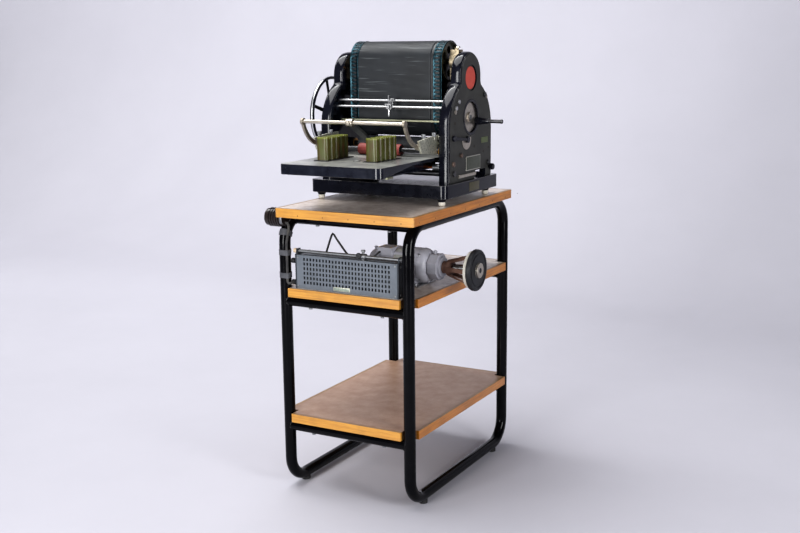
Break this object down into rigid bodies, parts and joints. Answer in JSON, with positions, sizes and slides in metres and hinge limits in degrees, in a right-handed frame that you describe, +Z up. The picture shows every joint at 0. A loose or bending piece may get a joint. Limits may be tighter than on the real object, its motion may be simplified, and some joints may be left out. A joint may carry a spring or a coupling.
{
  "type": "rotary duplicator",
  "caption": "Hand-cranked rotary stencil duplicator with twin-drum screen and feed table, on a black tube stand with shelves that carry its drive motor and slide resistor.",
  "frame": {"origin": "middle of the bounding box's bottom face, on the floor under the stand", "axes": "+Z up, +X along the drum axis towards the crank side, +Y from the feed side to the delivery side"},
  "size_m": [0.487, 0.651, 1.1028],
  "materials": {
    "tube_enamel": "gloss black enamel",
    "pad_rubber": "matte",
    "board_wood": "plain sanded",
    "edging_wood": "clear varnish",
    "linoleum": "dull mottled",
    "screw_steel": "dull",
    "bed_steel": "bright",
    "motor_grey": "satin grey",
    "fitting_black": "satin",
    "shaft_steel": "bright",
    "spider_brown": "dull brown",
    "pulley_black": "satin",
    "ring_pale": "matte",
    "resistor_grey": "hammered blue-grey",
    "plate_dark": "satin",
    "core_ceramic": "wound ceramic",
    "bakelite": "gloss brown-black",
    "tape_grey": "matte",
    "flex_braid": "braided",
    "lead_rubber": "satin",
    "cast_black": "gloss enamel on cast iron",
    "foot_rubber": "matte",
    "bush_bronze": "dull",
    "drum_dark": "satin",
    "bracket_cream": "satin",
    "screen_cloth": "inked weave",
    "band_steel": "blued",
    "gear_steel": "oiled",
    "roller_grey": "satin",
    "roller_ink": "satin",
    "roller_red": "matte",
    "bright_plate": "polished",
    "fittings_mixed": "satin",
    "lever_black": "gloss",
    "table_charcoal": "satin",
    "shaft_copper": "dull copper",
    "cheek_aluminium": "cast",
    "bail_plated": "worn plating",
    "guide_olive": "satin"
  },
  "bodies": {
    "stand_and_frames": {"loop_tubes": "tube_enamel", "loop_bends": "tube_enamel", "cross_tubes": "tube_enamel", "floor_pads": "pad_rubber", "boards": "board_wood", "edging_strips": "edging_wood", "linoleum_sheets": "linoleum", "shelf_screws": "screw_steel", "motor_bedplate": "bed_steel", "motor_body": "motor_grey", "motor_caps": "motor_grey", "motor_terminal_box": "fitting_black", "resistor_housing": "resistor_grey", "resistor_grille": "resistor_grey", "resistor_end_plates": "plate_dark", "resistor_core": "core_ceramic", "resistor_guide_rod": "shaft_steel", "resistor_terminals": "fitting_black", "mains_inlet": "bakelite", "lead_straps": "tape_grey", "mains_flex": "flex_braid", "motor_lead": "lead_rubber", "machine_base": "cast_black", "foot_sockets": "cast_black", "foot_tips": "foot_rubber", "left_side_frame": "cast_black", "right_side_frame": "cast_black", "tie_bars": "shaft_steel", "shaft_bushes": "bush_bronze", "upper_brackets": "bracket_cream", "screen_belt": "screen_cloth", "edge_bands": "band_steel", "guide_rods": "shaft_steel", "face_fittings": "fittings_mixed", "feed_table": "table_charcoal", "table_rails": "table_charcoal", "table_shafts": "shaft_copper", "bail_cheeks": "cheek_aluminium"},
    "main_drive": {"main_shaft": "shaft_steel", "lower_drum": "drum_dark", "drive_gear": "gear_steel", "crank_disc": "cast_black", "hub_plate": "bright_plate", "flywheel": "cast_black"},
    "crank_grip": {"crank_grip": "bright_plate"},
    "upper_drum": {"upper_drum": "drum_dark"},
    "impression_roller": {"impression_roller": "roller_grey"},
    "ink_roller": {"ink_roller": "roller_ink"},
    "feed_roller": {"feed_roller": "roller_red"},
    "motor_rotor": {"motor_shaft": "shaft_steel", "drive_spider": "spider_brown", "drive_pulley": "pulley_black", "pulley_ring": "ring_pale"},
    "feed_bail": {"feed_bail": "bail_plated"},
    "left_side_guide": {"left_side_guide": "guide_olive"},
    "right_side_guide": {"right_side_guide": "guide_olive"},
    "rod_holder": {"rod_holder": "shaft_steel"},
    "impression_lever": {"impression_lever": "lever_black"},
    "clamp_knob": {"clamp_knob": "lever_black"},
    "resistor_slider": {"resistor_slider": "fitting_black"}
  },
  "joints": [
    {"name": "main_spin", "type": "hinge", "parent": "stand_and_frames", "child": "main_drive", "pos_m": [-0.0035, 0.0435, 0.92], "axis": [1, 0, 0], "continuous": true},
    {"name": "crank_grip_spin", "type": "hinge", "parent": "main_drive", "child": "crank_grip", "pos_m": [-0.0035, 0.07869, 0.90857], "axis": [1, 0, 0], "continuous": true},
    {"name": "upper_drum_spin", "type": "hinge", "parent": "stand_and_frames", "child": "upper_drum", "pos_m": [-0.0035, 0.0435, 1.0525], "axis": [1, 0, 0], "continuous": true},
    {"name": "impression_spin", "type": "hinge", "parent": "stand_and_frames", "child": "impression_roller", "pos_m": [-0.0035, 0.0435, 0.848], "axis": [1, 0, 0], "continuous": true},
    {"name": "ink_spin", "type": "hinge", "parent": "stand_and_frames", "child": "ink_roller", "pos_m": [-0.0035, 0.0435, 0.98625], "axis": [1, 0, 0], "continuous": true},
    {"name": "feed_roller_spin", "type": "hinge", "parent": "stand_and_frames", "child": "feed_roller", "pos_m": [-0.0035, -0.0625, 0.8448], "axis": [1, 0, 0], "continuous": true},
    {"name": "rotor_spin", "type": "hinge", "parent": "stand_and_frames", "child": "motor_rotor", "pos_m": [-0.0275, -0.0485, 0.5645], "axis": [1, 0, 0], "continuous": true},
    {"name": "bail_lift", "type": "hinge", "parent": "stand_and_frames", "child": "feed_bail", "pos_m": [-0.0035, -0.1525, 0.862], "axis": [1, 0, 0], "range_deg": [-18, 15]},
    {"name": "left_guide_slide", "type": "slide", "parent": "stand_and_frames", "child": "left_side_guide", "axis": [1, 0, 0], "range_m": [-0.038, 0.03]},
    {"name": "right_guide_slide", "type": "slide", "parent": "stand_and_frames", "child": "right_side_guide", "axis": [1, 0, 0], "range_m": [-0.018, 0.05]},
    {"name": "holder_slide", "type": "slide", "parent": "stand_and_frames", "child": "rod_holder", "axis": [1, 0, 0], "range_m": [-0.08, 0.08]},
    {"name": "lever_swing", "type": "hinge", "parent": "stand_and_frames", "child": "impression_lever", "pos_m": [-0.0035, 0.0175, 0.868], "axis": [1, 0, 0], "range_deg": [-20, 20]},
    {"name": "knob_spin", "type": "hinge", "parent": "stand_and_frames", "child": "clamp_knob", "pos_m": [-0.0035, 0.1475, 0.791], "axis": [1, 0, 0], "continuous": true},
    {"name": "resistor_slide", "type": "slide", "parent": "stand_and_frames", "child": "resistor_slider", "axis": [1, 0, 0], "range_m": [-0.155, 0.074]}
  ],
  "couplings": [
    {"joint": "upper_drum_spin", "follows": "main_spin", "ratio": 1},
    {"joint": "impression_spin", "follows": "main_spin", "ratio": -2.3103},
    {"joint": "ink_spin", "follows": "main_spin", "ratio": -2.6741}
  ]
}
